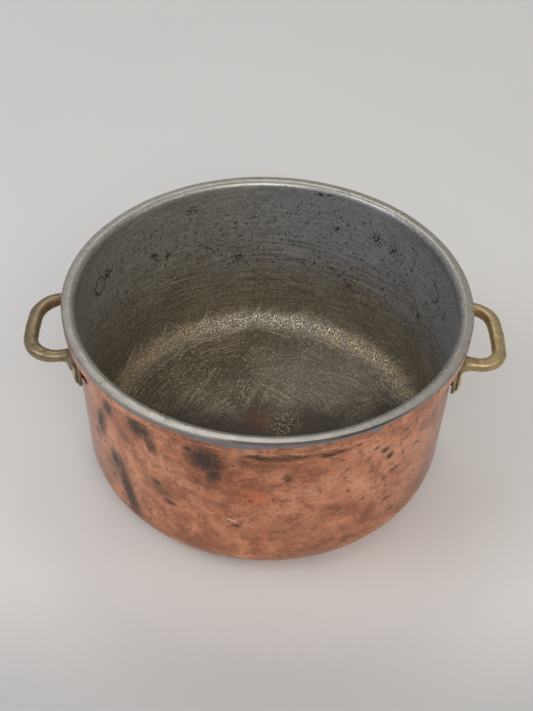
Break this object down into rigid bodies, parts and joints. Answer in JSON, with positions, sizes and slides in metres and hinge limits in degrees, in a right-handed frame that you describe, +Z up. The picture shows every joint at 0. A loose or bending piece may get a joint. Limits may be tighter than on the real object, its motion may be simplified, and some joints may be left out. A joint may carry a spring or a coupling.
{
  "type": "two-handled saucepan",
  "caption": "Round tinned copper pan with straight walls, a flat wired rim and riveted brass loop handles, for stewing and simmering on a hob.",
  "frame": {"origin": "centre of the base, on the surface that the pan stands on", "axes": "+Z up the pan's axis, +X through the right handle, +Y to the back"},
  "size_m": [0.2874, 0.24, 0.1228],
  "materials": {
    "copper": "hand-worn copper with dark tarnish stains, satin",
    "tin": "wiped tin, dulled and pitted, satin",
    "iron": "raw iron, hidden in the rim",
    "handle_brass": "cast brass with a brown patina, satin",
    "rivet_brass": "hammered brass, satin"
  },
  "bodies": {
    "root": {"copper_body": "copper", "tin_lining": "tin", "rim_wire": "iron", "handle_left": "handle_brass", "handle_right": "handle_brass", "rivet_left_front": "rivet_brass", "rivet_left_rear": "rivet_brass", "rivet_right_front": "rivet_brass", "rivet_right_rear": "rivet_brass"}
  },
  "joints": []
}
